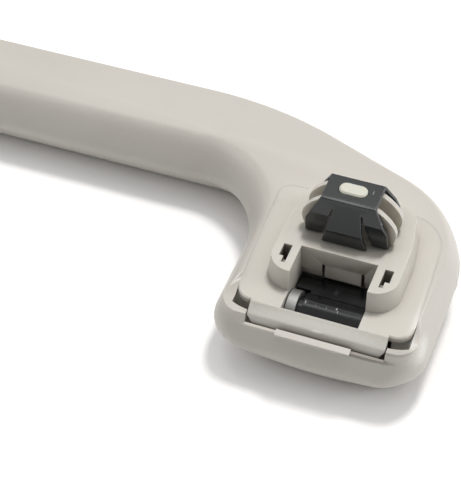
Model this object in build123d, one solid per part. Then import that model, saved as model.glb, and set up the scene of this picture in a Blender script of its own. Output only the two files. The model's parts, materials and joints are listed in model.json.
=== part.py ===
from build123d import *
from math import cos, hypot, radians, sin
import os

# A folding roof grab handle lying on its front face, back up: one moulded grip
# with a pad at each end, and in each pad a hinged bracket with a steel clip.
# Millimetres. x runs along the grip, y from the pad ends towards the bar, z up.
# Each pad is drawn round its own bracket: x = 0 on the bracket's middle,
# y = 0 at the window's lower edge, z = 0 at the grip's back plane.

# Grip
pitch = 200.0
depth = 19.0
bar_far = (58.3, 62.9)
bar_near = (43.4, 38.0)
pad_right = (20.6, 23.6)
pad_left = (-20.8, -25.2)
pad_end = (-1.2, -7.2)
end_bow = (0.3, 1.6)
corner_radius = (4.4, 11.0)
shoulder_radius = (24.0, 26.0)
inner_radius = (22.0, 17.0)
shoulder_slope = 0.381
bend_start = -30.0
bend_radius = 90.0
front_wall = 3.0

# Hinge
axis_y = 4.6
axis_z = -5.4
swing = 75.0
pin_radius = 1.5
pin_gap = 0.05
body_gap = 0.3
lug_radius = 3.4
lug_width = 3.2
lug_setback = 1.2
inner_head_radius = 4.4
inner_head_width = 2.3
outer_head_radius = 2.9
outer_head_width = 0.8
key_side = 2.0
key_length = 2.4
key_gap = 0.05

# Bracket flange and its rolled lip
flange_thickness = 1.6
flange_left = -19.2
flange_right = 19.8
flange_end = 0.2
flange_top = 34.6
flange_lean = 0.04
flange_corner = 3.6
flange_far_corner = 9.0
lip_half_width = 15.3
lip_foot_half_width = 13.8
lip_end_height = -2.2
lip_start = -0.2
lip_crease_y = -2.4
lip_crease_z = -1.8
lip_foot_y = -3.05
lip_foot_z = -4.4
lip_thickness = 1.1
lip_gap = 0.22
side_gap = 0.08
turn_gap = 0.15

# Raised platform with its two ears
platform_height = 5.45
platform_half_width = 14.1
platform_top = 32.4
platform_draft = 9.0
ear_end = 5.8
ear_radius = 4.8
ear_slot_x = 10.4
ear_slot_width = 1.9
ear_slot_far = 12.9
ear_slot_length = 3.4
ear_step_length = 1.7
ear_step_width = 0.9
ear_step_depth = 1.3

# Window, arms and the wall behind the damper
window_half_width = 8.6
window_far = 13.5
arm_width = 2.2
arm_radius = 4.3
back_wall_thickness = 1.6
back_wall_bottom = -10.8
wall_step = 0.3
wall_step_height = 1.6
latch_left = -3.9
latch_right = 5.7
latch_top = 1.0
latch_bottom = -2.9
latch_slot = 0.75
latch_bulge = 0.8

# Clip tower
tower_middle = 22.2
tower_half_width = 5.2
tower_half_depth = 2.85
tower_top = 16.1
fin_offset = 2.25
fin_thickness = 1.2
fin_reach = 10.5
plug_length = 6.4
plug_width = 3.4
plug_stand = 0.5
plug_depth = 9.0

# Steel clip
sheet = 0.7
clip_top_half_width = 6.0
clip_waist_half_width = 9.1
clip_foot_half_width = 9.4
clip_top_half_depth = 3.7
clip_bend_half_depth = 4.9
clip_foot_half_depth = 4.2
clip_bend_height = 12.4
clip_waist_height = 9.8
clip_foot_height = 6.0
clip_fold = 0.5
tongue_top_half_width = 2.7
tongue_foot_half_width = 5.0
tongue_crest_half_depth = 6.6
tongue_foot_half_depth = 6.2
tongue_crest_height = 10.0
tongue_slit = 0.75
tongue_root = 15.0

# Damper
barrel_radius = 4.3
barrel_wall = 1.1
barrel_left = -4.9
barrel_right = 8.3
barrel_end_wall = 1.5
cap_radius = 3.4
cap_width = 1.15
saddle_top = -3.2
saddle_thickness = 1.2
stub_radius = 1.9
rotor_radius = 2.9
rotor_end = 4.9
fin_key_width = 9.0
fin_key_height = 1.4
fin_key_z = -9.4
seal_wire = 0.45

# Return spring and its bobbin
bobbin_radius = 2.6
bobbin_flange = 4.4
bobbin_flange_width = 0.9
bobbin_left = -6.0
bobbin_right = 7.4
spring_wire = 1.1
spring_turns = 5
spring_near_leg = 4.4
spring_far_leg = 10.2

# Pad pocket, its ribs, the opening in its end wall and the bead there
pocket_ledge = 1.8
pocket_draft = 2.0
hinge_room = 5.6
boss_radius = 3.5
sweep_start = 88.0
sweep_spread = 55.0
recess_gap = 0.2
end_drop_near = 1.5
end_drop_far = 6.5
opening_half_width = 15.6
opening_depth = 3.75
bead_half_width = 8.3
bead_top = -2.9
bead_edge = -5.0
rib_thickness = 1.2
rib_spacing = 9.0
rib_low = 18.5

arm_outer = window_half_width + arm_width
lug_inner = arm_outer + body_gap
lug_outer = lug_inner + lug_width
lip_crease_reach = hypot(axis_y - lip_crease_y, axis_z - lip_crease_z)
lip_foot_reach = hypot(axis_y - lip_foot_y, axis_z - lip_foot_z)
lip_relief = max(lip_crease_reach, lip_foot_reach) + lip_gap
corner_reach = hypot(axis_y - flange_end, axis_z) - 0.2
corner_relief = corner_reach + body_gap
clip_top = tower_top + sheet
spring_radius = bobbin_radius + 0.2 + spring_wire / 2
y_shift = -(pad_end[1] + bar_far[1]) / 2


def between(pair, grow):
    return pair[0] + grow * (pair[1] - pair[0])


def outline(level, grow, swell):
    """Plan outline of the whole grip at one level: grow and swell are 0 at the back plane, 1 at the widest line."""
    right = between(pad_right, grow) + pitch / 2
    left = between(pad_left, grow) + pitch / 2
    far = between(bar_far, grow)
    near = between(bar_near, grow)
    end = between(pad_end, grow)
    bend = bend_start + pitch / 2
    shoulder = far - shoulder_slope * (right - bend)
    side = end + between(end_bow, swell)
    half = [(bend, far), (right, shoulder), (right, side), (pitch / 2, end), (left, side), (left, near)]
    corner = between(corner_radius, swell)
    radii = [bend_radius, between(shoulder_radius, swell), corner, bend_radius, corner, between(inner_radius, swell)]
    points = half + [(-x, y) for x, y in reversed(half)]
    line = FilletPolyline(*[(x, y, level) for x, y in points], radius=radii + radii[::-1], close=True)
    return Face(Wire(line.edges()))


def grip_shell():
    """The bulging wall: narrow at the back, widest below mid-depth, rounded over to the front."""
    profile = [(0, -0.12, 0), (0.04, 0.12, 0), (0.16, 0.44, 0.1), (0.37, 0.79, 0.5),
               (0.61, 1.0, 1.0), (0.80, 0.84, 1.1), (0.947, 0.30, 1.0), (1.0, -0.40, 0.8)]
    return loft([outline(-depth * share, grow, swell) for share, grow, swell in profile])


def bar_along_x(radius, start, end, y=axis_y, z=axis_z):
    """A round bar from x = start to x = end."""
    turn = Pos(start, y, z) * Rot(0, 90, 0)
    return turn * Cylinder(radius, end - start, align=(Align.CENTER, Align.CENTER, Align.MIN))


def slab(x, y, z):
    """A block between pairs of limits."""
    low = (min(x), min(y), min(z))
    return Pos(*low) * Box(abs(x[1] - x[0]), abs(y[1] - y[0]), abs(z[1] - z[0]), align=(Align.MIN,) * 3)


def side_profile(points, radii=0):
    """A closed face in the y-z plane."""
    line = FilletPolyline(*[(0, y, z) for y, z in points], radius=radii, close=True)
    return Face(Wire(line.edges()))


def along_x(face, start, end):
    return Pos(start, 0, 0) * extrude(face, end - start, dir=(1, 0, 0))


def flange_outline(grow=0.0):
    """Outline of the bracket's flange, or of its recess when grown."""
    lean = flange_top * flange_lean
    points = [(flange_left - grow, flange_end - grow), (flange_right + grow, flange_end - grow),
              (flange_right + grow, flange_top / 3), (flange_right - lean + grow, flange_top + grow),
              (flange_left - lean - grow, flange_top + grow)]
    radii = [flange_corner + grow, flange_corner + grow, 60, flange_far_corner + grow, 3 + grow]
    line = FilletPolyline(*points, radius=radii, close=True)
    return Face(Wire(line.edges()))


def side_reach():
    """Radius of the point on the flange's side that comes down to the end wall's lowered top at full swing."""
    share = (flange_thickness + recess_gap) / axis_z
    turned = (1 + share - cos(radians(swing))) / sin(radians(swing))
    return -axis_z * hypot(1, turned)


def end_drop():
    """The part of the end wall's rim that is left off, so that the flange's near edge stands over the wall."""
    low = -flange_thickness - recess_gap
    points = [(bar_near[1], 3), (pad_end[1] - 5, 3), (pad_end[1] - 5, low), (end_drop_near, low), (end_drop_far, 0),
              (bar_near[1], 0.01)]
    return along_x(side_profile(points), 2 * pad_left[1], 2 * pad_right[1])


def corner_sweep(edge, gap):
    """The room that a rounded corner of the flange needs as it turns about the hinge, out to x = edge + gap."""
    start = edge - flange_corner
    mid_reach = hypot(axis_y - flange_end - flange_corner * 0.13, axis_z)
    end_reach = side_reach() + body_gap
    top = Polyline((0, 0), (0, corner_relief), (start, corner_relief))
    rim = ThreePointArc((start, corner_relief), (start + flange_corner * 0.62, mid_reach),
                        (edge + gap, end_reach))
    close = Polyline((edge + gap, end_reach), (edge + gap, 0), (0, 0))
    face = Face(Wire(top.edges() + rim.edges() + close.edges()))
    sweep = revolve(Rot(sweep_start, 0, 0) * face, Axis.X, swing + sweep_spread)
    return Pos(0, axis_y, axis_z) * (sweep - Rot(0, 90, 0) * Cylinder(boss_radius, 4 * edge))


def pad_cavity():
    """Everything that is open inside one pad."""
    recess = extrude(flange_outline(side_gap), -(flange_thickness + recess_gap))
    recess += Pos(0, 0, -0.05) * extrude(flange_outline(side_gap), 3)
    left = flange_left + pocket_ledge
    right = flange_right - pocket_ledge
    far = flange_top - pocket_ledge
    room = [(left, axis_y), (right, axis_y), (right - 1, far), (left, far)]
    well = FilletPolyline(*room, radius=[0, 0, flange_far_corner, 5], close=True)
    well = extrude(Face(Wire(well.edges())), -(depth - front_wall), taper=pocket_draft)
    reach = lug_outer + 1.2
    below = slab((-reach, reach), (axis_y - hinge_room, axis_y + 1), (-depth + front_wall, axis_z))
    cavity = recess + well + below
    cavity += bar_along_x(lip_relief, -opening_half_width, opening_half_width)
    cavity += corner_sweep(flange_right, turn_gap) + mirror(corner_sweep(-flange_left, 2 * turn_gap), about=Plane.YZ)
    cavity += end_drop()
    return cavity


def lug(side):
    """One of the two lugs that carry the hinge pins, standing on the pad's floor."""
    start, end = sorted((side * lug_inner, side * lug_outer))
    floor = -depth + front_wall - 0.5
    near = axis_y - lug_radius + lug_setback
    post = slab((start, end), (near, axis_y + lug_radius), (floor, axis_z))
    post += bar_along_x(lug_radius, start, end)
    gusset = side_profile([(axis_y + lug_radius - 0.1, floor), (axis_y + lug_radius + 6, floor),
                           (axis_y + lug_radius - 0.1, axis_z - 1)])
    return post + along_x(gusset, start, end)


def pad_ribs():
    """Stiffening ribs under the flange, between the hinge and the bar."""
    floor = -depth + front_wall - 0.5
    ribs = [slab((i * rib_spacing - rib_thickness / 2, i * rib_spacing + rib_thickness / 2),
                 (rib_low, flange_top - 1), (floor, -8.0)) for i in (-1, 0, 1)]
    cross = slab((flange_left + 1, flange_right - 1), (rib_low + 6, rib_low + 6 + rib_thickness), (floor, -11.0))
    return ribs + [cross]


def stop_bead():
    """The ledge that stands out along the lower edge of the opening in the pad's end wall."""
    inner = axis_y - lip_relief - 0.05
    points = [(inner, bead_top), (bead_edge, bead_top - 0.25), (bead_edge, bead_top - 0.75),
              (bead_edge + 0.5, bead_top - 1.6), (inner, bead_top - 2.1)]
    return along_x(side_profile(points), -bead_half_width, bead_half_width)


def lip():
    """The lip under the window: a sloping face, then a steep one whose lower corners are cut away."""
    path = [(flange_end + 2, -lip_thickness / 2), (lip_start + 0.3, -lip_thickness / 2),
            (lip_crease_y + lip_thickness * 0.43, lip_crease_z - lip_thickness * 0.29),
            (lip_foot_y + lip_thickness / 2, lip_foot_z)]
    band = along_x(folded_sheet(path, 0.4, lip_thickness), -lip_half_width, lip_half_width)
    half = [(lip_half_width, 1), (lip_half_width, lip_end_height), (lip_foot_half_width, lip_foot_z)]
    return band & front_block(half)


def platform():
    """The raised U round the window: two rounded ears and a broad back."""
    half = platform_half_width
    ear_inner = window_half_width - 1
    points = [(ear_inner, ear_end), (half, ear_end), (half, 20), (half - 2.0, platform_top),
              (-half + 1.2, platform_top), (-half, 20), (-half, ear_end), (-ear_inner, ear_end),
              (-ear_inner, window_far - 1), (ear_inner, window_far - 1)]
    radii = [0, ear_radius, 40, 6, 6, 40, ear_radius, 0, 0, 0]
    line = FilletPolyline(*[(x, y, platform_height) for x, y in points], radius=radii, close=True)
    block = extrude(Face(Wire(line.edges())), platform_height + 0.4, dir=(0, 0, -1), taper=-platform_draft)
    return block


def ear_slots():
    """A through slot in each ear, with a shallow step at its near end."""
    cuts = []
    for side in (1, -1):
        inner = side * ear_slot_x
        near = ear_slot_far - ear_slot_length
        cuts.append(slab((inner, inner + side * ear_slot_width), (near, ear_slot_far), (-3, platform_height + 1)))
        cuts.append(slab((inner, inner + side * ear_step_width), (near - ear_step_length, near + 0.1),
                         (platform_height - ear_step_depth, platform_height + 1)))
    return cuts


def arm(side):
    """A hinge arm: the window's side wall, carried down to a round eye at the hinge."""
    start, end = sorted((side * window_half_width, side * arm_outer))
    top = -0.5
    reach = arm_radius
    swing = side_profile([(axis_y - 3.0, top), (axis_y - 3.6, axis_z + 2.2), (axis_y + 1, axis_z - reach),
                          (window_far + back_wall_thickness, back_wall_bottom),
                          (window_far + back_wall_thickness, top)])
    return along_x(swing, start, end) + bar_along_x(reach, start, end)


def back_wall():
    """The wall behind the damper, stepped, with a slot for the damper's key."""
    y = (window_far, window_far + back_wall_thickness)
    wall = slab((-arm_outer, arm_outer), y, (back_wall_bottom, platform_height - 0.5))
    wall -= slab((-window_half_width, window_half_width), (y[0] - 1, y[0] + wall_step),
                 (back_wall_bottom - 1, wall_step_height))
    half = fin_key_width / 2 + 0.15
    wall -= slab((-half, half), (y[0] - 1, y[1] + 1), (fin_key_z - 0.15, fin_key_z + fin_key_height + 0.15))
    face = window_far + wall_step
    tongue = side_profile([(face - wall_step, latch_top), (face - latch_bulge, latch_bottom + 0.7),
                           (face - latch_bulge + 0.3, latch_bottom), (face + 0.5, latch_bottom),
                           (face + 0.5, latch_top)])
    return wall + along_x(tongue, latch_left + 0.1, latch_right - 0.1)


def latch_slits():
    """The slits that free the latch tongue in the wall behind the damper."""
    y = (window_far - 1, window_far + back_wall_thickness + 0.6)
    cuts = [slab((x, x + latch_slot), y, (latch_bottom - latch_slot, latch_top))
            for x in (latch_left, latch_right - latch_slot)]
    return cuts + [slab((latch_left, latch_right), y, (latch_bottom - latch_slot, latch_bottom))]


def fin(y):
    """A pair of D-shaped fins, one each side of the tower."""
    top = tower_top - 0.5
    foot = platform_height - 0.2
    foot_reach = fin_reach - 1.0
    edge = Polyline((0, top), (tower_half_width, top))
    bulge = Spline((tower_half_width, top), (fin_reach - 2.0, top - 2.4), (fin_reach, foot + 4.4), (foot_reach, foot),
                   tangents=((1, -0.45), (-0.5, -1)))
    foot = Polyline((foot_reach, foot), (0, foot), (0, top))
    half = Face(Wire(edge.edges() + bulge.edges() + foot.edges()))
    plate = Plane.XZ.offset(-y) * half
    plate = extrude(plate, fin_thickness / 2, both=True)
    return plate + mirror(plate, about=Plane.YZ)


def tower():
    """The clip tower: a core between two pairs of fins, slotted for the plug."""
    near = tower_middle - tower_half_depth
    far = tower_middle + tower_half_depth
    core = side_profile([(near, platform_height - 0.3), (near, tower_top - 0.5), (near + 0.5, tower_top),
                         (far - 0.5, tower_top), (far, tower_top - 0.5), (far, platform_height - 0.3)])
    core = along_x(core, -tower_half_width, tower_half_width)
    for offset in (-fin_offset, fin_offset):
        core += fin(tower_middle + offset)
    core -= Pos(0, tower_middle, tower_top - plug_depth) * plug_bar(plug_depth + 1, 0)
    return core


def plug_bar(height, shrink):
    """An oblong bar, standing on its origin."""
    shape = SlotOverall(plug_length - 2 * shrink, plug_width - 2 * shrink)
    return extrude(shape, height)


def bracket():
    """The hinged bracket's one moulding."""
    body = extrude(flange_outline(), -flange_thickness)
    body = chamfer(body.faces().sort_by(Axis.Z)[-1].edges(), 0.3)
    body += platform() + lip()
    body -= slab((-window_half_width, window_half_width), (0, window_far), (-30, platform_height + 5))
    body += arm(1)
    body += arm(-1)
    body += back_wall()
    body += tower()
    for cut in ear_slots() + latch_slits():
        body -= cut
    bore = pin_radius + pin_gap
    body -= bar_along_x(bore, -arm_outer - 1, arm_outer + 1)
    return body


def clip_plug():
    """The oblong plug that holds the clip on its tower."""
    rise = plug_depth + sheet + plug_stand
    body = plug_bar(rise, 0.05)
    body = chamfer(body.faces().sort_by(Axis.Z)[-1].edges(), 0.35)
    return Pos(0, tower_middle, tower_top - plug_depth) * body


def leg_path(side):
    """Half of the clip's section, from the top's edge to a foot, as points (y, z)."""
    top = clip_top - sheet / 2
    return [(tower_middle + side * (clip_top_half_depth - sheet / 2), top),
            (tower_middle + side * (clip_bend_half_depth - sheet / 2), clip_bend_height),
            (tower_middle + side * (clip_bend_half_depth - sheet / 2 - 0.1), clip_waist_height - 1),
            (tower_middle + side * (clip_foot_half_depth - sheet / 2), clip_foot_height)]


def tongue_path(side):
    """A latch tongue's section, from its root in the leg over its crest to its foot."""
    edge, bend = leg_path(side)[:2]
    share = (edge[1] - tongue_root) / (edge[1] - bend[1])
    root = (edge[0] + share * (bend[0] - edge[0]), tongue_root)
    return [root, (tower_middle + side * (tongue_crest_half_depth - sheet / 2), tongue_crest_height),
            (tower_middle + side * (tongue_foot_half_depth - sheet / 2), clip_foot_height)]


def folded_sheet(points, radius, thickness=sheet):
    """The section of a folded sheet round a path of points (y, z)."""
    line = FilletPolyline(*[(0, y, z) for y, z in points], radius=radius)
    band = Wire(line.edges()).offset_2d(thickness / 2, side=Side.BOTH, closed=True)
    return Face(band)


def front_block(half):
    """A block right through the part, with the given right half of its front outline as points (x, z)."""
    points = half + [(-x, z) for x, z in reversed(half)]
    face = Plane.XZ.offset(-tower_middle) * make_face(Polyline(*points, close=True))
    return extrude(face, 50, both=True)


def tongue_block(grow):
    """The tongue's front outline, or that of the slits round it when grown."""
    half = [(tongue_top_half_width + grow, tongue_root + 0.6 - 2 * grow),
            (tongue_foot_half_width + grow, clip_foot_height), (tongue_foot_half_width + grow, clip_foot_height - 3)]
    return front_block(half)


def spring_clip():
    """The folded steel clip: two legs, each with a bulging latch tongue between slits."""
    legs = along_x(folded_sheet(leg_path(-1)[::-1] + leg_path(1), clip_fold), -12, 12)
    body = legs & front_block([(clip_top_half_width, clip_top + 1), (clip_top_half_width, clip_top - 0.3),
                               (clip_waist_half_width, clip_waist_height + 0.6),
                               (clip_foot_half_width, clip_foot_height - 1)])
    body -= tongue_block(tongue_slit)
    body -= Pos(0, tower_middle, clip_top - 2) * plug_bar(4, -0.1)
    for side in (-1, 1):
        tongue = along_x(folded_sheet(tongue_path(side), clip_fold), -12, 12)
        body += tongue & tongue_block(0)
    return body


def hinge_pin(side, head_radius, head_width):
    """A headed steel pin, put in from inside the bracket and pressed into its lug; its key drives what it meets."""
    inner = side * (window_half_width - 0.15)
    head = sorted((inner, inner - side * head_width))
    shank = sorted((inner - side * 0.2, side * (lug_outer + 0.6)))
    key = sorted((inner - side * (head_width - 0.1), inner - side * (head_width + key_length)))
    body = bar_along_x(head_radius, *head) + bar_along_x(pin_radius, *shank)
    half = key_side / 2
    return body + slab(key, (axis_y - half, axis_y + half), (axis_z - half, axis_z + half))


def key_hole(start, end, gap):
    half = key_side / 2 + gap
    return slab((start, end), (axis_y - half, axis_y + half), (axis_z - half, axis_z + half))


def damper_barrel():
    """The damper's glossy housing, open at its left end, with a saddle and a key against the back wall."""
    body = bar_along_x(barrel_radius, barrel_left, barrel_right)
    z = (fin_key_z, fin_key_z + fin_key_height)
    far = window_far + back_wall_thickness
    body += slab((-fin_key_width / 2, fin_key_width / 2), (axis_y + 1, far), z)
    saddle = (saddle_top - saddle_thickness, saddle_top)
    body += slab((barrel_left, barrel_right), (axis_y, window_far - 0.05), saddle)
    body += slab((-barrel_right, barrel_right), (axis_y + inner_head_radius + 0.2, window_far - 0.05), saddle)
    socket = window_half_width - 0.15 - outer_head_width - 0.1
    chamber_end = socket - barrel_end_wall
    body -= bar_along_x(barrel_radius - barrel_wall, barrel_left - 1, chamber_end)
    body -= bar_along_x(key_side * 0.9, chamber_end - 1, barrel_right + 1)
    return body - bar_along_x(outer_head_radius + 0.1, socket, barrel_right + 1)


def damper_cap():
    """The stepped ring that closes the damper's left end."""
    body = bar_along_x(cap_radius, barrel_left - cap_width, barrel_left)
    body += bar_along_x(barrel_radius - barrel_wall - 0.02, barrel_left - 0.1, barrel_left + 0.9)
    return body - bar_along_x(stub_radius + pin_gap, barrel_left - cap_width - 1, barrel_left + 2)


def damper_rotor():
    """The rotor that turns in the grease; its stub is keyed to the left pin."""
    body = bar_along_x(rotor_radius, barrel_left + 1.8, rotor_end)
    body += bar_along_x(stub_radius, barrel_left - cap_width + 0.05, barrel_left + 2)
    for i in range(4):
        flute = Pos(0, axis_y, axis_z) * Rot(45 + 90 * i, 0, 0) * Pos(0, rotor_radius, 0)
        body -= flute * Pos(0.5, 0, 0) * Rot(0, 90, 0) * Cylinder(0.7, 6.0)
    return body - key_hole(barrel_left - cap_width - 1, barrel_left + 2.2, key_gap)


def damper_seal():
    """The rubber ring between the cap and the rotor."""
    ring = Torus(stub_radius + seal_wire + 0.03, seal_wire)
    return Pos(barrel_left + 0.9 + seal_wire, axis_y, axis_z) * Rot(0, 90, 0) * ring


def spring_bobbin():
    """The sleeve that carries the return spring between two flanges."""
    body = bar_along_x(bobbin_radius, bobbin_left, bobbin_right)
    for x in (bobbin_left, bobbin_right - bobbin_flange_width):
        body += bar_along_x(bobbin_flange, x, x + bobbin_flange_width)
    return body - bar_along_x(key_side * 0.9, bobbin_left - 1, bobbin_right + 1)


def return_spring():
    """A torsion spring: close turns round the bobbin, one leg through the back wall and one on the pad's seat."""
    rise = spring_wire + 0.15
    length = spring_turns * rise
    coil = Helix(rise, length, spring_radius)
    far_leg = Line(coil @ 1, coil @ 1 + (coil % 1) * spring_far_leg)
    near_leg = Line(coil @ 0 - (coil % 0) * spring_near_leg, coil @ 0)
    path = Wire([near_leg.edge(), coil.edge(), far_leg.edge()])
    wire = sweep(Plane(path @ 0, z_dir=path % 0) * Circle(spring_wire / 2), path=path)
    return Pos(-length / 2, axis_y, axis_z) * Rot(0, 90, 0) * wire


def spring_seat():
    """The post on the pad's floor, with a shelf on its near side that the spring's near leg bears on."""
    middle = -spring_turns * (spring_wire + 0.15) / 2
    x = (middle - 1.3, middle + 1.3)
    top = axis_z - spring_radius - spring_wire / 2 - 0.05
    foot = min(-depth + front_wall, axis_z - lip_relief) - 0.5
    return slab(x, (axis_y - 3.4, axis_y + 1.0), (top - 1.2, top)) + slab(x, (axis_y - 1.0, axis_y + 1.0), (foot, top))


def across(piece, side):
    """Moves a pad's piece to its end of the grip, mirrored for the left end."""
    placed = Pos(pitch / 2, 0, 0) * piece
    return placed if side > 0 else mirror(placed, about=Plane.YZ)


def grip():
    """The grip's one moulding, with a pocket, lugs, ribs and a stop bead in each pad."""
    body = grip_shell()
    for side in (1, -1):
        hollow = pad_cavity()
        hollow += slab((-opening_half_width, opening_half_width), (-12, axis_y), (-opening_depth, 2))
        body -= across(hollow, side)
        for piece in [lug(1), lug(-1), stop_bead()] + pad_ribs():
            body += across(piece, side)
        if side < 0:
            body += across(spring_seat(), side)
        body -= across(bar_along_x(pin_radius, -lug_outer - 0.8, lug_outer + 0.8), side)
    return body


def seat(piece, side):
    """Puts a pad's piece into the whole handle's frame."""
    return Pos(0, y_shift, depth) * across(piece, side)


def nodes():
    parts = {"handle_grip": Pos(0, y_shift, depth) * grip()}
    for name, side in (("right", 1), ("left", -1)):
        parts[name + "_bracket"] = seat(bracket(), side)
        parts[name + "_spring_clip"] = seat(spring_clip(), side)
        parts[name + "_clip_plug"] = seat(clip_plug(), side)
        parts[name + "_inner_pin"] = seat(hinge_pin(-1, inner_head_radius, inner_head_width), side)
        parts[name + "_outer_pin"] = seat(hinge_pin(1, outer_head_radius, outer_head_width), side)
    parts["damper_barrel"] = seat(damper_barrel(), 1)
    parts["damper_cap"] = seat(damper_cap(), 1)
    parts["damper_rotor"] = seat(damper_rotor(), 1)
    parts["damper_seal"] = seat(damper_seal(), 1)
    parts["spring_bobbin"] = seat(spring_bobbin(), -1)
    parts["return_spring"] = seat(return_spring(), -1)
    return parts


os.makedirs("parts", exist_ok=True)
for node, solid in nodes().items():
    export_step(solid, "parts/" + node + ".step")
    print(node, len(solid.solids()), round(solid.volume, 1), solid.is_valid)
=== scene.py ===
import json
from math import cos, radians, sin

import bmesh
import bpy
from mathutils import Matrix, Vector


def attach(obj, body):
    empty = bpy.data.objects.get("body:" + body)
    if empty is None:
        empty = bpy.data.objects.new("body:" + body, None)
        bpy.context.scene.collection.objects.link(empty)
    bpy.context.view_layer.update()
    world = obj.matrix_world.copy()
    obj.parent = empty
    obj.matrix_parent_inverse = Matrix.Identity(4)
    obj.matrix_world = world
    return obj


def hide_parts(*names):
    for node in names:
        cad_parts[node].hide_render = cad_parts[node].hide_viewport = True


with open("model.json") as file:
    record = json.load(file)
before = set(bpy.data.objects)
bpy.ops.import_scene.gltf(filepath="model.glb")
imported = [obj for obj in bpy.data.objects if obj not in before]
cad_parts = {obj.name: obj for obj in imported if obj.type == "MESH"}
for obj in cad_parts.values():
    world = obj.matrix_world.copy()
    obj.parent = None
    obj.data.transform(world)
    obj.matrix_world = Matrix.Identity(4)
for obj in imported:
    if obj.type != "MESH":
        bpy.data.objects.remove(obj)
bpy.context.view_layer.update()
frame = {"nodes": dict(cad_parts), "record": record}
mm = 0.001
print("frame loaded:", len(frame["nodes"]), "nodes")

# where a pad's own drawing sits in the handle, in mm: its middle, the window's lower edge, the back plane
pad = {"x": 100.0, "y": -27.85, "z": 19.0}

# camera: places and lengths in mm, angles in degrees
camera = {"target": (75.565, -16.222, 19.0), "azimuth": 23.48, "elevation": 48.6, "roll": -3.18,
          "distance": 348.93, "lens": 114.77, "frameHeight": 36.0, "nearest": 10.0}


def addCamera():
    az, el, roll = (radians(camera[angle]) for angle in ("azimuth", "elevation", "roll"))
    back = Vector((sin(az) * cos(el), -cos(az) * cos(el), sin(el)))
    side = Vector((cos(az), sin(az), 0))
    up = back.cross(side)
    right = side * cos(roll) + up * sin(roll)
    above = up * cos(roll) - side * sin(roll)
    data = bpy.data.cameras.new("camera")
    data.sensor_fit = "VERTICAL"
    data.sensor_height = camera["frameHeight"]
    data.lens = camera["lens"]
    data.clip_start = camera["nearest"] * mm
    eye = bpy.data.objects.new("camera", data)
    turn = Matrix((right, above, back)).transposed().to_4x4()
    eye.matrix_world = Matrix.Translation((Vector(camera["target"]) + back * camera["distance"]) * mm) @ turn
    bpy.context.scene.collection.objects.link(eye)
    bpy.context.scene.camera = eye


addCamera()
print("camera set")

# short ways to add shader nodes


def newGroup(name, inputs, outputs):
    group = bpy.data.node_groups.new(name, "ShaderNodeTree")
    for label, kind, value in inputs:
        socket = group.interface.new_socket(label, in_out="INPUT", socket_type=kind)
        if value is not None:
            socket.default_value = value
    for label, kind in outputs:
        group.interface.new_socket(label, in_out="OUTPUT", socket_type=kind)
    return group, group.nodes.new("NodeGroupInput"), group.nodes.new("NodeGroupOutput")


def feed(tree, socket, value):
    # gives a socket a constant, or a link where the value is another node's output
    if isinstance(value, bpy.types.NodeSocket):
        tree.links.new(value, socket)
    elif value is not None:
        socket.default_value = value


def combine(tree, operation, first, second=None, clamp=False):
    node = tree.nodes.new("ShaderNodeMath")
    node.operation = operation
    node.use_clamp = clamp
    feed(tree, node.inputs[0], first)
    feed(tree, node.inputs[1], second)
    return node.outputs[0]


def combineVectors(tree, operation, first, second=None):
    node = tree.nodes.new("ShaderNodeVectorMath")
    node.operation = operation
    feed(tree, node.inputs[0], first)
    feed(tree, node.inputs[1], second)
    return node.outputs["Value" if operation == "LENGTH" else "Vector"]


def noise(tree, vector, scale, detail=2.0, rough=0.5, distortion=0.0):
    node = tree.nodes.new("ShaderNodeTexNoise")
    node.inputs["Detail"].default_value = detail
    node.inputs["Roughness"].default_value = rough
    node.inputs["Distortion"].default_value = distortion
    feed(tree, node.inputs["Vector"], vector)
    feed(tree, node.inputs["Scale"], scale)
    return node.outputs["Fac"]


def spread(tree, value, low, high, toLow=0.0, toHigh=1.0):
    node = tree.nodes.new("ShaderNodeMapRange")
    node.inputs["From Min"].default_value = low
    node.inputs["From Max"].default_value = high
    node.inputs["To Min"].default_value = toLow
    node.inputs["To Max"].default_value = toHigh
    feed(tree, node.inputs["Value"], value)
    return node.outputs["Result"]


def stretched(tree, vector, scale, turn):
    node = tree.nodes.new("ShaderNodeMapping")
    node.inputs["Scale"].default_value = scale
    node.inputs["Rotation"].default_value = turn
    feed(tree, node.inputs["Vector"], vector)
    return node.outputs["Vector"]


def mixed(tree, mask, first, second):
    # the first colour where the mask is 0 and the second where it is 1
    node = tree.nodes.new("ShaderNodeMix")
    node.data_type = "RGBA"
    feed(tree, node.inputs["Factor"], mask)
    for label, colour in (("A", first), ("B", second)):
        feed(tree, node.inputs[label], (*colour, 1) if isinstance(colour, tuple) else colour)
    return node.outputs["Result"]


# shared effects. A noise is given by its scale, detail, roughness and distortion, and a range by its two ends
grainForm = {"size": 2600.0, "grain": (3.0, 0.6), "grainShare": 0.6, "ripple": (90.0, 1.0, 0.4),
             "rippleShare": 0.4, "tone": (22.0, 3.0, 0.55), "toneRange": (0.3, 0.7)}


def mouldedGrainGroup():
    # the fine spark-eroded grain of a moulding, with a slow ripple under it
    form = grainForm
    inputs = [("Vector", "NodeSocketVector", None), ("Size", "NodeSocketFloat", form["size"])]
    outputs = [("Height", "NodeSocketFloat"), ("Tone", "NodeSocketFloat")]
    group, given, made = newGroup("mouldedGrain", inputs, outputs)
    place = given.outputs["Vector"]
    grain = noise(group, place, given.outputs["Size"], *form["grain"])
    ripple = noise(group, place, *form["ripple"])
    height = combine(group, "ADD", combine(group, "MULTIPLY", grain, form["grainShare"]),
                     combine(group, "MULTIPLY", ripple, form["rippleShare"]))
    tone = spread(group, noise(group, place, *form["tone"]), *form["toneRange"])
    group.links.new(height, made.inputs["Height"])
    group.links.new(tone, made.inputs["Tone"])
    return group


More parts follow.
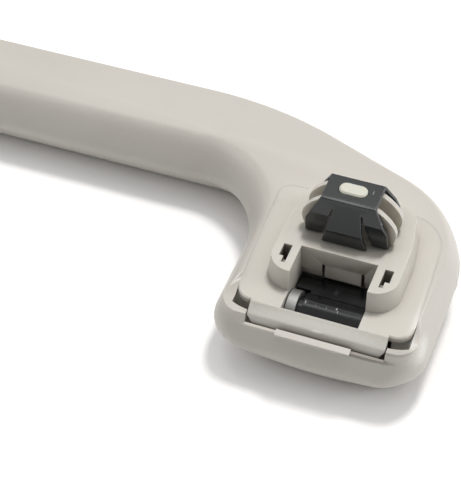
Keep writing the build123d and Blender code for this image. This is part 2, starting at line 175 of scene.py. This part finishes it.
handlingForm = {"patch": (55.0, 4.0, 0.6, 0.4), "patchRange": (0.42, 0.68), "stretch": (1.0, 0.16, 1.0),
                "turn": (0.0, 0.0, 0.6), "streak": (900.0, 2.0, 0.6), "streakRange": (0.45, 0.7),
                "streakShare": 0.5}


def handlingGroup():
    # smears of handling: slow patches broken up by fine streaks
    form = handlingForm
    inputs = [("Vector", "NodeSocketVector", None)]
    group, given, made = newGroup("handling", inputs, [("Mask", "NodeSocketFloat")])
    place = given.outputs["Vector"]
    patch = spread(group, noise(group, place, *form["patch"]), *form["patchRange"])
    streakPlace = stretched(group, place, form["stretch"], form["turn"])
    streak = spread(group, noise(group, streakPlace, *form["streak"]), *form["streakRange"])
    broken = combine(group, "MULTIPLY", streak, form["streakShare"])
    broken = combine(group, "ADD", broken, 1.0 - form["streakShare"])
    group.links.new(combine(group, "MULTIPLY", patch, broken, clamp=True), made.inputs["Mask"])
    return group


# each run of scratches has a turn about z and an offset of its own
scratchForm = {"size": 260.0, "stretch": (1.0, 0.035, 1.0), "tilt": (0.15, 0.1),
               "runs": ((0.5, 0.0), (-0.9, 3.0)), "middle": 0.5, "width": 0.006, "patch": (140.0, 1.0),
               "patchRange": (0.56, 0.66)}


def scratchGroup():
    # sparse hair scratches in two directions
    form = scratchForm
    inputs = [("Vector", "NodeSocketVector", None), ("Size", "NodeSocketFloat", form["size"])]
    group, given, made = newGroup("hairScratches", inputs, [("Mask", "NodeSocketFloat")])
    lines = []
    for turn, offset in form["runs"]:
        vector = stretched(group, given.outputs["Vector"], form["stretch"], (*form["tilt"], turn))
        vector = combineVectors(group, "ADD", vector, (offset, offset, offset))
        line = noise(group, vector, given.outputs["Size"], 0.0)
        close = combine(group, "ABSOLUTE", combine(group, "SUBTRACT", line, form["middle"]))
        lines.append(spread(group, close, 0.0, form["width"], 1.0, 0.0))
    where = spread(group, noise(group, given.outputs["Vector"], *form["patch"]), *form["patchRange"])
    both = combine(group, "MAXIMUM", *lines)
    group.links.new(combine(group, "MULTIPLY", both, where, clamp=True), made.inputs["Mask"])
    return group


speckForm = {"size": 700.0, "amount": 0.06, "largest": 0.3}


def speckGroup():
    # lone specks of dust or tiny nicks
    form = speckForm
    inputs = [("Vector", "NodeSocketVector", None), ("Size", "NodeSocketFloat", form["size"]),
              ("Amount", "NodeSocketFloat", form["amount"])]
    group, given, made = newGroup("specks", inputs, [("Mask", "NodeSocketFloat")])
    cells = group.nodes.new("ShaderNodeTexVoronoi")
    group.links.new(given.outputs["Vector"], cells.inputs["Vector"])
    group.links.new(given.outputs["Size"], cells.inputs["Scale"])
    pick = group.nodes.new("ShaderNodeSeparateColor")
    group.links.new(cells.outputs["Color"], pick.inputs["Color"])
    chosen = combine(group, "LESS_THAN", pick.outputs[0], given.outputs["Amount"])
    size = combine(group, "MULTIPLY", pick.outputs[1], form["largest"])
    dot = combine(group, "LESS_THAN", cells.outputs["Distance"], size)
    group.links.new(combine(group, "MULTIPLY", chosen, dot), made.inputs["Mask"])
    return group


edgeForm = {"reach": 0.0002, "samples": 8, "proud": (0.55, 0.95), "breaks": (900.0, 3.0, 0.6),
            "breaksRange": (0.35, 0.6)}


def edgeGroup():
    # an edge that stands proud, found by short rays inside the piece and broken up: rubbed bare edges, which
    # also carry a painted highlight
    form = edgeForm
    inputs = [("Vector", "NodeSocketVector", None), ("Reach", "NodeSocketFloat", form["reach"])]
    group, given, made = newGroup("rubbedEdgeAndHighlight", inputs, [("Mask", "NodeSocketFloat")])
    thin = group.nodes.new("ShaderNodeAmbientOcclusion")
    thin.inside = True
    thin.only_local = True
    thin.samples = form["samples"]
    group.links.new(given.outputs["Reach"], thin.inputs["Distance"])
    proud = spread(group, thin.outputs["AO"], *form["proud"], 1.0, 0.0)
    broken = spread(group, noise(group, given.outputs["Vector"], *form["breaks"]), *form["breaksRange"])
    group.links.new(combine(group, "MULTIPLY", proud, broken, clamp=True), made.inputs["Mask"])
    return group


creviceForm = {"reach": 0.0015, "samples": 8, "near": (0.25, 0.95), "paintedDeepShade": (0.12, 0.50)}


def creviceGroup():
    # corners and slots, where dust gathers and shade is painted on, with a second mask for the deepest of them,
    # where the painted shade goes nearly black
    form = creviceForm
    group, given, made = newGroup("crevice", [("Reach", "NodeSocketFloat", form["reach"])],
                                  [("Mask", "NodeSocketFloat"), ("PaintedDeepShade", "NodeSocketFloat")])
    near = group.nodes.new("ShaderNodeAmbientOcclusion")
    near.samples = form["samples"]
    group.links.new(given.outputs["Reach"], near.inputs["Distance"])
    group.links.new(spread(group, near.outputs["AO"], *form["near"], 1.0, 0.0), made.inputs["Mask"])
    group.links.new(spread(group, near.outputs["AO"], *form["paintedDeepShade"], 1.0, 0.0), made.inputs["PaintedDeepShade"])
    return group


markForm = {"reach": (0.001, 0.001, 0.001), "ragged": (4200.0, 2.0, 0.6), "raggedShare": 0.9,
            "fade": (1.0, 1.35)}


def markGroup():
    # one small mark at a place of its own, with a ragged edge: nicks, scuffs and a gate's stub, and also
    # patches of painted light and shade
    form = markForm
    inputs = [("Vector", "NodeSocketVector", None), ("Centre", "NodeSocketVector", None),
              ("Reach", "NodeSocketVector", form["reach"])]
    group, given, made = newGroup("mark", inputs, [("Mask", "NodeSocketFloat")])
    place = combineVectors(group, "SUBTRACT", given.outputs["Vector"], given.outputs["Centre"])
    far = combineVectors(group, "LENGTH", combineVectors(group, "DIVIDE", place, given.outputs["Reach"]))
    ragged = noise(group, given.outputs["Vector"], *form["ragged"])
    edge = combine(group, "ADD", far, combine(group, "MULTIPLY", ragged, form["raggedShare"]))
    group.links.new(spread(group, edge, *form["fade"], 1.0, 0.0), made.inputs["Mask"])
    return group


groups = {"mouldedGrain": mouldedGrainGroup(), "handling": handlingGroup(), "hairScratches": scratchGroup(),
          "specks": speckGroup(), "rubbedEdgeAndHighlight": edgeGroup(), "crevice": creviceGroup(), "mark": markGroup()}
print("shared effects built:", len(groups))

# materials. A tint is a colour and its strength. A mark lies in a pad's own drawing, in mm, and its reach is
# along x, y and z. Each scratchCut, and the gate's stub, is its share of the bump, where the grain has 1


class Finish:
    # one material under construction: the shader, the coordinates and short ways to add effects

    def __init__(self, name, look):
        self.material = bpy.data.materials.new(name)
        self.material.use_nodes = True
        self.tree = self.material.node_tree
        self.shader = self.tree.nodes["Principled BSDF"]
        self.place = self.tree.nodes.new("ShaderNodeTexCoord").outputs["Object"]
        self.colour = look["colour"]
        self.rough = look["rough"]
        self.material.diffuse_color = (*self.colour, 1)
        self.shader.inputs["Base Color"].default_value = (*self.colour, 1)
        self.shader.inputs["Roughness"].default_value = self.rough
        for label, value in look.get("shader", {}).items():
            self.shader.inputs[label].default_value = value

    def effect(self, name, output, **values):
        node = self.tree.nodes.new("ShaderNodeGroup")
        node.node_tree = groups[name]
        if "Vector" in node.inputs:
            self.tree.links.new(self.place, node.inputs["Vector"])
        for label, value in values.items():
            node.inputs[label].default_value = value
        return node.outputs[output]

    def padPlace(self):
        # the coordinates with the left pad laid over the right one
        parts = self.tree.nodes.new("ShaderNodeSeparateXYZ")
        whole = self.tree.nodes.new("ShaderNodeCombineXYZ")
        self.tree.links.new(self.place, parts.inputs[0])
        self.tree.links.new(combine(self.tree, "ABSOLUTE", parts.outputs["X"]), whole.inputs["X"])
        for axis in "YZ":
            self.tree.links.new(parts.outputs[axis], whole.inputs[axis])
        return whole.outputs[0]

    def mark(self, spot):
        # tints one mark on the right pad, or on both where it says so
        middle = (Vector(spot["middle"]) + Vector((pad["x"], pad["y"], pad["z"]))) * mm
        mask = self.effect("mark", "Mask", Centre=middle, Reach=Vector(spot["reach"]) * mm)
        if spot.get("both"):
            self.tree.links.new(self.padPlace(), mask.node.inputs["Vector"])
        self.tint(mask, *spot["tint"])
        return mask

    def tint(self, mask, colour, amount):
        strength = combine(self.tree, "MULTIPLY", mask, amount, clamp=True)
        self.colour = mixed(self.tree, strength, self.colour, colour)
        self.tree.links.new(self.colour, self.shader.inputs["Base Color"])

    def roughen(self, mask, amount):
        extra = combine(self.tree, "MULTIPLY", mask, amount)
        self.rough = combine(self.tree, "ADD", self.rough, extra, clamp=True)
        self.tree.links.new(self.rough, self.shader.inputs["Roughness"])

    def bump(self, parts, depth):
        total = None
        for mask, amount in parts:
            step = combine(self.tree, "MULTIPLY", mask, amount)
            total = step if total is None else combine(self.tree, "ADD", total, step)
        node = self.tree.nodes.new("ShaderNodeBump")
        node.inputs["Distance"].default_value = depth
        node.inputs["Strength"].default_value = 1.0
        self.tree.links.new(total, node.inputs["Height"])
        self.tree.links.new(node.outputs["Normal"], self.shader.inputs["Normal"])


gripLook = {"colour": (0.640, 0.610, 0.560), "rough": 0.40, "shader": {"Specular IOR Level": 0.45},
            "shade": ((0.560, 0.520, 0.462), 0.16), "smear": ((0.58, 0.545, 0.49), 0.30),
            "dustAndShade": ((0.42, 0.39, 0.34), 0.25), "dustAndShadeReach": 0.0012, "handled": -0.07, "scratched": 0.10,
            "scratch": 240.0, "scratchCut": -0.5, "grain": 2600.0, "depth": 0.000010}
gripMarks = {"scuff": {"middle": (23.7, 7.5, -7.6), "reach": (0.8, 0.35, 1.1),
                       "tint": ((0.40, 0.37, 0.33), 0.5)},
             # painted light that lifts the shade in the room under the flange's corner
             "roomPaintedLight": {"middle": (18.2, 2.2, -4.4), "reach": (7.0, 6.0, 4.0),
                      "tint": ((0.86, 0.84, 0.80), 0.9), "both": True},
             # painted shade on the end wall's ledge under the lip
             "ledgePaintedShade": {"middle": (11.5, -3.8, -3.8), "reach": (8.0, 2.4, 0.8),
                       "tint": ((0.24, 0.215, 0.19), 0.75), "both": True},
             # painted shade on the step of the end wall below the flange's corner
             "step": {"middle": (18.0, -2.4, -1.9), "reach": (8.0, 2.6, 0.6),
                      "tint": ((0.44, 0.42, 0.385), 0.6), "both": True}}


def gripPlastic():
    look = gripLook
    paint = Finish("gripPlastic", look)
    paint.tint(paint.effect("mouldedGrain", "Tone"), *look["shade"])
    paint.tint(paint.effect("handling", "Mask"), *look["smear"])
    # dust in corners and gaps, with painted shade there
    paint.tint(paint.effect("crevice", "Mask", Reach=look["dustAndShadeReach"]), *look["dustAndShade"])
    # a scuff, painted light in the room under the flange's corner, and painted shade on the ledge and the step
    for spot in gripMarks.values():
        paint.mark(spot)
    scratch = paint.effect("hairScratches", "Mask", Size=look["scratch"])
    paint.roughen(paint.effect("handling", "Mask"), look["handled"])
    paint.roughen(scratch, look["scratched"])
    grain = paint.effect("mouldedGrain", "Height", Size=look["grain"])
    paint.bump([(grain, 1.0), (scratch, look["scratchCut"])], look["depth"])
    return paint.material


bracketLook = {"colour": (0.655, 0.628, 0.572), "rough": 0.33,
               "shader": {"Specular IOR Level": 0.5, "Subsurface Weight": 0.35,
                          "Subsurface Radius": (1.0, 0.88, 0.70), "Subsurface Scale": 0.0020},
               "flow": ((0.60, 0.565, 0.50), 0.22), "dustAndShade": ((0.36, 0.33, 0.28), 0.60), "dustAndShadeReach": 0.0045,
               "paintedDeepShade": ((0.04, 0.037, 0.033), 0.85), "paintedDeepShadeReach": 0.0030, "handled": 0.08,
               "scratch": 420.0, "scratchCut": -0.7, "gateStub": 6.0, "grain": 4200.0, "depth": 0.000006}
# painted light over the lip's faces
bracketMarks = {"foldPaintedLight": {"middle": (0.0, -2.6, -2.8), "reach": (26.0, 3.8, 6.4),
                         "tint": ((0.84, 0.82, 0.76), 0.7), "both": True},
                "gate": {"middle": (0.2, -2.4, -1.75), "reach": (1.7, 0.38, 0.5),
                         "tint": ((0.96, 0.94, 0.88), 0.85)}}


def bracketPlastic():
    look = bracketLook
    paint = Finish("bracketPlastic", look)
    paint.tint(paint.effect("mouldedGrain", "Tone"), *look["flow"])
    # painted light over the lip
    paint.mark(bracketMarks["foldPaintedLight"])
    # dust and painted shade at the feet of walls and in slots
    paint.tint(paint.effect("crevice", "Mask", Reach=look["dustAndShadeReach"]), *look["dustAndShade"])
    # painted shade, near black, deep in slots and gaps
    paint.tint(paint.effect("crevice", "PaintedDeepShade", Reach=look["paintedDeepShadeReach"]), *look["paintedDeepShade"])
    gate = paint.mark(bracketMarks["gate"])
    paint.roughen(paint.effect("handling", "Mask"), look["handled"])
    grain = paint.effect("mouldedGrain", "Height", Size=look["grain"])
    scratch = paint.effect("hairScratches", "Mask", Size=look["scratch"])
    paint.bump([(grain, 1.0), (scratch, look["scratchCut"]), (gate, look["gateStub"])], look["depth"])
    return paint.material


clipLook = {"colour": (0.0088, 0.0092, 0.0112), "rough": 0.26, "shader": {"Specular IOR Level": 0.62},
            "sheen": ((0.011, 0.016, 0.014), 0.6), "rubbedAndHighlight": ((0.26, 0.28, 0.28), 0.60),
            "speck": ((0.42, 0.43, 0.44), 0.75), "speckSize": 650.0, "speckAmount": 0.045,
            "scratched": ((0.26, 0.28, 0.28), 0.05), "scratch": 300.0, "scratchCut": -0.6, "handled": 0.05,
            "grain": 3200.0, "depth": 0.000001}
clipMarks = {"nick": {"middle": (4.2, 22.9, 16.8), "reach": (0.14, 0.75, 0.3),
                      "tint": ((0.42, 0.43, 0.44), 0.6)},
             # painted highlight along the fold
             "foldPaintedLight": {"middle": (0.0, 18.62, 16.72), "reach": (11.5, 0.34, 0.42),
                      "tint": ((0.26, 0.28, 0.28), 0.8), "both": True}}


def clipSteel():
    look = clipLook
    paint = Finish("clipSteel", look)
    scratch = paint.effect("hairScratches", "Mask", Size=look["scratch"])
    paint.tint(paint.effect("mouldedGrain", "Tone"), *look["sheen"])
    # rubbed bare edges, with a painted highlight along proud edges
    paint.tint(paint.effect("rubbedEdgeAndHighlight", "Mask"), *look["rubbedAndHighlight"])
    speck = paint.effect("specks", "Mask", Size=look["speckSize"], Amount=look["speckAmount"])
    paint.tint(speck, *look["speck"])
    paint.tint(scratch, *look["scratched"])
    # a nick, and a painted highlight along the fold
    for spot in clipMarks.values():
        paint.mark(spot)
    paint.roughen(paint.effect("handling", "Mask"), look["handled"])
    grain = paint.effect("mouldedGrain", "Height", Size=look["grain"])
    paint.bump([(grain, 1.0), (scratch, look["scratchCut"])], look["depth"])
    return paint.material


plugLook = {"colour": (0.72, 0.72, 0.63), "rough": 0.36,
            "shader": {"Subsurface Weight": 0.15, "Subsurface Scale": 0.0006},
            "flow": ((0.55, 0.54, 0.46), 0.25), "dustAndShade": ((0.55, 0.54, 0.46), 0.6), "dustAndShadeReach": 0.0006,
            "grain": 3800.0, "depth": 0.000006}


def plugNylon():
    look = plugLook
    paint = Finish("plugNylon", look)
    paint.tint(paint.effect("mouldedGrain", "Tone"), *look["flow"])
    # dust and painted shade around the plug's rim
    paint.tint(paint.effect("crevice", "Mask", Reach=look["dustAndShadeReach"]), *look["dustAndShade"])
    paint.bump([(paint.effect("mouldedGrain", "Height", Size=look["grain"]), 1.0)], look["depth"])
    return paint.material


damperLook = {"colour": (0.0085, 0.0092, 0.0100), "rough": 0.17, "shader": {"Specular IOR Level": 0.5},
              "bloom": ((0.020, 0.021, 0.023), 0.7), "speck": ((0.45, 0.46, 0.46), 0.5), "speckSize": 1500.0,
              "speckAmount": 0.02, "handled": 0.12, "scratched": 0.2, "scratch": 360.0, "scratchCut": -0.8,
              "grain": 1500.0, "depth": 0.000004}
# nicks on the barrel, painted light where they glint
damperNickGlints = {"tint": ((0.45, 0.46, 0.46), 0.9),
               "places": [((-4.4, 4.1, -1.13), (0.16, 0.55, 0.4)), ((2.5, 4.3, -1.1), (0.18, 0.45, 0.4)),
                          ((2.9, 3.7, -1.2), (0.10, 0.50, 0.4))]}


def damperBlack():
    look = damperLook
    paint = Finish("damperBlack", look)
    paint.tint(paint.effect("handling", "Mask"), *look["bloom"])
    speck = paint.effect("specks", "Mask", Size=look["speckSize"], Amount=look["speckAmount"])
    paint.tint(speck, *look["speck"])
    # nicks, painted light where they glint
    for middle, reach in damperNickGlints["places"]:
        paint.mark({"middle": middle, "reach": reach, "tint": damperNickGlints["tint"]})
    scratch = paint.effect("hairScratches", "Mask", Size=look["scratch"])
    paint.roughen(paint.effect("handling", "Mask"), look["handled"])
    paint.roughen(scratch, look["scratched"])
    grain = paint.effect("mouldedGrain", "Height", Size=look["grain"])
    paint.bump([(grain, 1.0), (scratch, look["scratchCut"])], look["depth"])
    return paint.material


steelLook = {"colour": (0.38, 0.38, 0.37), "rough": 0.55, "shader": {"Metallic": 1.0},
             "dull": ((0.26, 0.26, 0.25), 0.5), "dullReach": 0.0008, "handled": 0.15, "scratch": 500.0,
             "scratchCut": -1.0, "grain": 2400.0, "depth": 0.000004}
springLook = {**steelLook, "colour": (0.33, 0.33, 0.34), "rough": 0.36}


def platedSteel(name, look):
    paint = Finish(name, look)
    paint.tint(paint.effect("handling", "Mask"), *look["dull"])
    paint.tint(paint.effect("crevice", "Mask", Reach=look["dullReach"]), *look["dull"])
    paint.roughen(paint.effect("handling", "Mask"), look["handled"])
    grain = paint.effect("mouldedGrain", "Height", Size=look["grain"])
    scratch = paint.effect("hairScratches", "Mask", Size=look["scratch"])
    paint.bump([(grain, 1.0), (scratch, look["scratchCut"])], look["depth"])
    return paint.material


rubberLook = {"colour": (0.022, 0.022, 0.022), "rough": 0.62, "dustAndShade": ((0.09, 0.088, 0.085), 0.4),
              "grain": 2800.0, "depth": 0.000008}


def sealRubber():
    look = rubberLook
    paint = Finish("sealRubber", look)
    paint.tint(paint.effect("handling", "Mask"), *look["dustAndShade"])
    paint.bump([(paint.effect("mouldedGrain", "Height", Size=look["grain"]), 1.0)], look["depth"])
    return paint.material


materials = {"grip_plastic": gripPlastic(), "bracket_plastic": bracketPlastic(), "clip_steel": clipSteel(),
             "plug_nylon": plugNylon(), "pin_steel": platedSteel("platedSteel", steelLook),
             "damper_black": damperBlack(), "seal_rubber": sealRubber(),
             "spring_steel": platedSteel("springSteel", springLook)}
print("materials built:", len(materials))

# the handle's pieces, with lengths in mm and angles in degrees
bodyOf = {node: body for body, nodes in frame["record"]["behaviour"]["bodies"].items() for node in nodes}
slotOf = {part["node"]: part["material_slot"] for part in frame["record"]["subparts"]}

# how far each kind of piece has its sharp edges eased, and the angle that counts as sharp
easing = {"handle_grip": (0.16, 32), "bracket": (0.14, 30), "spring_clip": (0.11, 32),
          "clip_plug": (0.10, 30), "pin": (0.12, 30), "damper_barrel": (0.10, 30), "damper_cap": (0.10, 30),
          "damper_rotor": (0.10, 30), "damper_seal": (0.0, 60), "spring_bobbin": (0.12, 30),
          "return_spring": (0.05, 40)}
# how near two corners are joined, the angle under which triangles count as flat, and the steps of an eased edge
surface = {"joined": 0.002, "flat": 0.4, "easingSteps": 2}

# shares of that easing, beside a flange's thin gap and on the grip's outer rim, at a pad and on the bar
share = {"gap": 0.0, "rim": 2.6, "bar": 7.0}
# where those edges lie: how near the back plane, up to which height the grip stands, the gap's middle and size,
# and where the rim's easing starts to grow towards the bar
edges = {"level": 0.35, "foot": 0.05, "gapMiddle": 17.0, "gapSide": 20.0, "gapEnd": 36.0, "barStart": 12.0,
         "barBlend": 25.0}


def easingOf(node):
    return next(value for key, value in easing.items() if node.endswith(key))


def facesAway(middle, normal):
    # above 0 where a wall of a pad faces away from the flange's middle
    across = (abs(middle.x) - pad["x"]) * (1 if middle.x > 0 else -1)
    return normal.x * across + normal.y * (middle.y - pad["y"] - edges["gapMiddle"])


def easeShare(node, edge):
    # 1 for most sharp edges, none beside a flange's gap and where the grip stands, more on the grip's outer rim
    middle = (edge.verts[0].co + edge.verts[1].co) / 2 / mm
    if node.endswith("grip") and middle.z < edges["foot"]:
        return 0.0
    if not node.endswith(("grip", "bracket")) or abs(middle.z - pad["z"]) > edges["level"]:
        return 1.0
    wallNormal = min((face.normal for face in edge.link_faces), key=lambda normal: abs(normal.z))
    away = facesAway(middle, wallNormal)
    if node.endswith("bracket"):
        return share["gap"] if away > 0 else 1.0
    inwards = pad["x"] - abs(middle.x)
    if inwards < edges["gapSide"] and middle.y < pad["y"] + edges["gapEnd"] and away < 0:
        return share["gap"]
    blend = min(max((inwards - edges["barStart"]) / edges["barBlend"], 0.0), 1.0)
    return share["rim"] + (share["bar"] - share["rim"]) * blend


# how much rounder than its solid the grip's underside is drawn: how far its wall goes in at most, up to which
# height, the curve's swell and fullness, how much more the walls that face the bar's middle go in, how far down
# the front looks, the angle at which the wall ends, and the height at which the grip stands
underside = {"inset": 2.7, "height": 9.5, "swell": 2.6, "fullness": 0.5, "inwards": 0.2, "down": -0.99,
             "angle": 30, "stand": 0.02}


def outerWall(work):
    # the faces of the grip's front and of all the wall that runs smoothly up from it
    fronts = [face for face in work.faces if face.normal.z < underside["down"]]
    start = max(fronts, key=lambda face: face.calc_area())
    wall, reached = {start}, [start]
    while reached:
        for edge in reached.pop().edges:
            if edge.is_manifold and edge.calc_face_angle() < radians(underside["angle"]):
                for face in edge.link_faces:
                    if face not in wall:
                        wall.add(face)
                        reached.append(face)
    return wall


def roundUnderside(work):
    # takes the grip's outer wall in towards its front face, so that it curves under earlier
    ways = {}
    for face in outerWall(work):
        level = Vector((face.normal.x, face.normal.y, 0)) * face.calc_area()
        for vert in face.verts:
            ways[vert] = ways.get(vert, Vector()) + level
    for vert, way in ways.items():
        height = vert.co.z / mm / underside["height"]
        if 0 < height < 1 and way.length > 0:
            way.normalize()
            inwards = -way.x if vert.co.x > 0 else way.x
            inset = underside["inset"] * (1 + underside["inwards"] * inwards)
            curve = underside["swell"] * height ** underside["fullness"] * (1 - height)
            vert.co -= way * inset * curve * mm
    for vert in work.verts:
        vert.co.z = max(vert.co.z, underside["stand"] * mm)


# how far a flange's rim comes out into its thin gap, from which y and between which heights of the pad's
# drawing, from where its rounding is brought up and to which level, how squarely its faces look out, and how
# upright they are
rimOut = {"reach": 0.06, "start": 6.0, "low": -1.75, "high": 0.05, "rounding": -0.5, "level": -0.01,
          "outwards": 0.5, "upright": 0.1}


def widenRim(work):
    # brings the flange's rim out to within a hair of its recess and level with the grip
    push, lift = {}, set()
    for face in work.faces:
        middle = face.calc_center_median() / mm
        height = middle.z - pad["z"]
        beside = rimOut["low"] < height < rimOut["high"] and middle.y - pad["y"] > rimOut["start"]
        if not beside or facesAway(middle, face.normal) < rimOut["outwards"]:
            continue
        if abs(face.normal.z) < rimOut["upright"]:
            for vert in face.verts:
                push[vert] = push.get(vert, Vector()) + face.normal
        elif height > rimOut["rounding"] and face.normal.z > 0:
            lift.update(face.verts)
    for vert, way in push.items():
        vert.co += way.normalized() * rimOut["reach"] * mm
    for vert in lift:
        vert.co.z = (pad["z"] + rimOut["level"]) * mm


def joinedSurface(node, angle):
    # a joined copy of the node's surface, smooth across its curves, with a bevel weight on each sharp edge
    mesh = frame["nodes"][node].data.copy()
    mesh.name = node + "_surface"
    work = bmesh.new()
    work.from_mesh(mesh)
    bmesh.ops.remove_doubles(work, verts=work.verts, dist=surface["joined"] * mm)
    bmesh.ops.dissolve_limit(work, angle_limit=radians(surface["flat"]), verts=work.verts, edges=work.edges)
    bmesh.ops.recalc_face_normals(work, faces=work.faces)
    if node.endswith("bracket"):
        widenRim(work)
    elif node.endswith("grip"):
        roundUnderside(work)
    for face in work.faces:
        face.smooth = True
    weight = work.edges.layers.float.new("bevel_weight_edge")
    for edge in work.edges:
        sharp = edge.is_manifold and edge.calc_face_angle() > radians(angle)
        edge[weight] = easeShare(node, edge) / share["bar"] if sharp else 0.0
    work.to_mesh(mesh)
    work.free()
    mesh.set_sharp_from_angle(angle=radians(angle))
    return mesh


def addFinished(node):
    width, angle = easingOf(node)
    mesh = joinedSurface(node, angle)
    mesh.materials.clear()
    mesh.materials.append(materials[slotOf[node]])
    piece = bpy.data.objects.new(node + "_finish", mesh)
    bpy.context.scene.collection.objects.link(piece)
    if width:
        ease = piece.modifiers.new("easedEdges", "BEVEL")
        ease.width = width * share["bar"] * mm
        ease.segments = surface["easingSteps"]
        ease.limit_method = "WEIGHT"
        ease.harden_normals = True
        ease.miter_outer = "MITER_ARC"
    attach(piece, bodyOf[node])
    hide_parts(node)


for node in frame["nodes"]:
    addFinished(node)
print("pieces finished")

# floor, light and background, with lengths in metres. The table's own glow lifts its shadows, and a contact
# shadow is painted where the handle nearly touches it: there its glow falls off and its colour turns to the
# painted shade
table = {"size": 3.0, "height": -0.00002, "white": (0.86, 0.86, 0.865), "shade": (0.80, 0.785, 0.77),
         "contact": 0.014, "open": (0.17, 0.95), "glow": 0.36, "rough": 0.42, "specular": 0.35}
sky = {"light": 0.22, "mirrored": 0.30}
# the lamps aim at this share of the way to the right pad
lampAim = 0.7
lamps = {"keyLight": {"towards": (0.13, 0.34, 1.0), "distance": 1.1, "size": 0.22, "power": 6.9,
                      "colour": (1.0, 0.985, 0.965)},
         "sideLight": {"towards": (1.0, 0.12, 0.42), "distance": 0.9, "size": 0.45, "power": 2.2,
                       "colour": (1.0, 1.0, 1.0)},
         "topLight": {"towards": (-0.26, 0.13, 0.95), "distance": 1.0, "size": 0.30, "power": 0.5,
                      "colour": (1.0, 1.0, 1.0)},
         "backLight": {"towards": (-0.30, 0.62, 0.72), "distance": 1.2, "size": 0.60, "power": 0.6,
                       "colour": (1.0, 1.0, 1.0)},
         "leftLight": {"towards": (-0.9, -0.35, 0.6), "distance": 1.1, "size": 0.60, "power": 1.7,
                       "colour": (1.0, 0.99, 0.98)}}


def tableWhite():
    material = bpy.data.materials.new("tableWhite")
    material.use_nodes = True
    tree = material.node_tree
    shader = tree.nodes["Principled BSDF"]
    shader.inputs["Roughness"].default_value = table["rough"]
    shader.inputs["Specular IOR Level"].default_value = table["specular"]
    # painted contact shadow: where short rays meet the handle, the colour goes to the shade colour and the glow
    # goes out
    cover = tree.nodes.new("ShaderNodeAmbientOcclusion")
    cover.inputs["Distance"].default_value = table["contact"]
    clear = spread(tree, cover.outputs["AO"], *table["open"])
    tree.links.new(mixed(tree, clear, table["shade"], table["white"]), shader.inputs["Base Color"])
    path = tree.nodes.new("ShaderNodeLightPath")
    seen = combine(tree, "MAXIMUM", path.outputs["Is Camera Ray"], path.outputs["Is Glossy Ray"])
    glow = combine(tree, "MULTIPLY", combine(tree, "MULTIPLY", seen, table["glow"]), clear)
    shader.inputs["Emission Color"].default_value = (1, 1, 1, 1)
    tree.links.new(glow, shader.inputs["Emission Strength"])
    return material


def addTable():
    mesh = bpy.data.meshes.new("table")
    work = bmesh.new()
    bmesh.ops.create_grid(work, x_segments=1, y_segments=1, size=table["size"] / 2)
    work.to_mesh(mesh)
    work.free()
    mesh.materials.append(tableWhite())
    top = bpy.data.objects.new("table", mesh)
    top.location.z = table["height"]
    bpy.context.scene.collection.objects.link(top)


def addWorld():
    world = bpy.data.worlds.new("studio")
    world.use_nodes = True
    tree = world.node_tree
    path = tree.nodes.new("ShaderNodeLightPath")
    seen = combine(tree, "MAXIMUM", path.outputs["Is Camera Ray"], path.outputs["Is Transmission Ray"])
    white = combine(tree, "MULTIPLY", seen, 1.0 - sky["light"])
    mirrored = combine(tree, "MULTIPLY", path.outputs["Is Glossy Ray"], sky["mirrored"])
    strength = combine(tree, "ADD", combine(tree, "ADD", white, mirrored), sky["light"])
    tree.links.new(strength, tree.nodes["Background"].inputs["Strength"])
    tree.nodes["Background"].inputs["Color"].default_value = (1.0, 1.0, 1.0, 1)
    bpy.context.scene.world = world


def addLamp(name, lamp):
    data = bpy.data.lights.new(name, "AREA")
    data.shape = "DISK"
    data.size = lamp["size"]
    data.energy = lamp["power"]
    data.color = lamp["colour"]
    light = bpy.data.objects.new(name, data)
    towards = Vector(lamp["towards"]).normalized()
    aim = Vector((pad["x"] * lampAim, 0, 0)) * mm
    place = Matrix.Translation(aim + towards * lamp["distance"])
    light.matrix_world = place @ towards.to_track_quat("Z", "Y").to_matrix().to_4x4()
    bpy.context.scene.collection.objects.link(light)


addTable()
addWorld()
for name, lamp in lamps.items():
    addLamp(name, lamp)
bpy.context.scene.view_settings.view_transform = "Standard"
print("stage set")
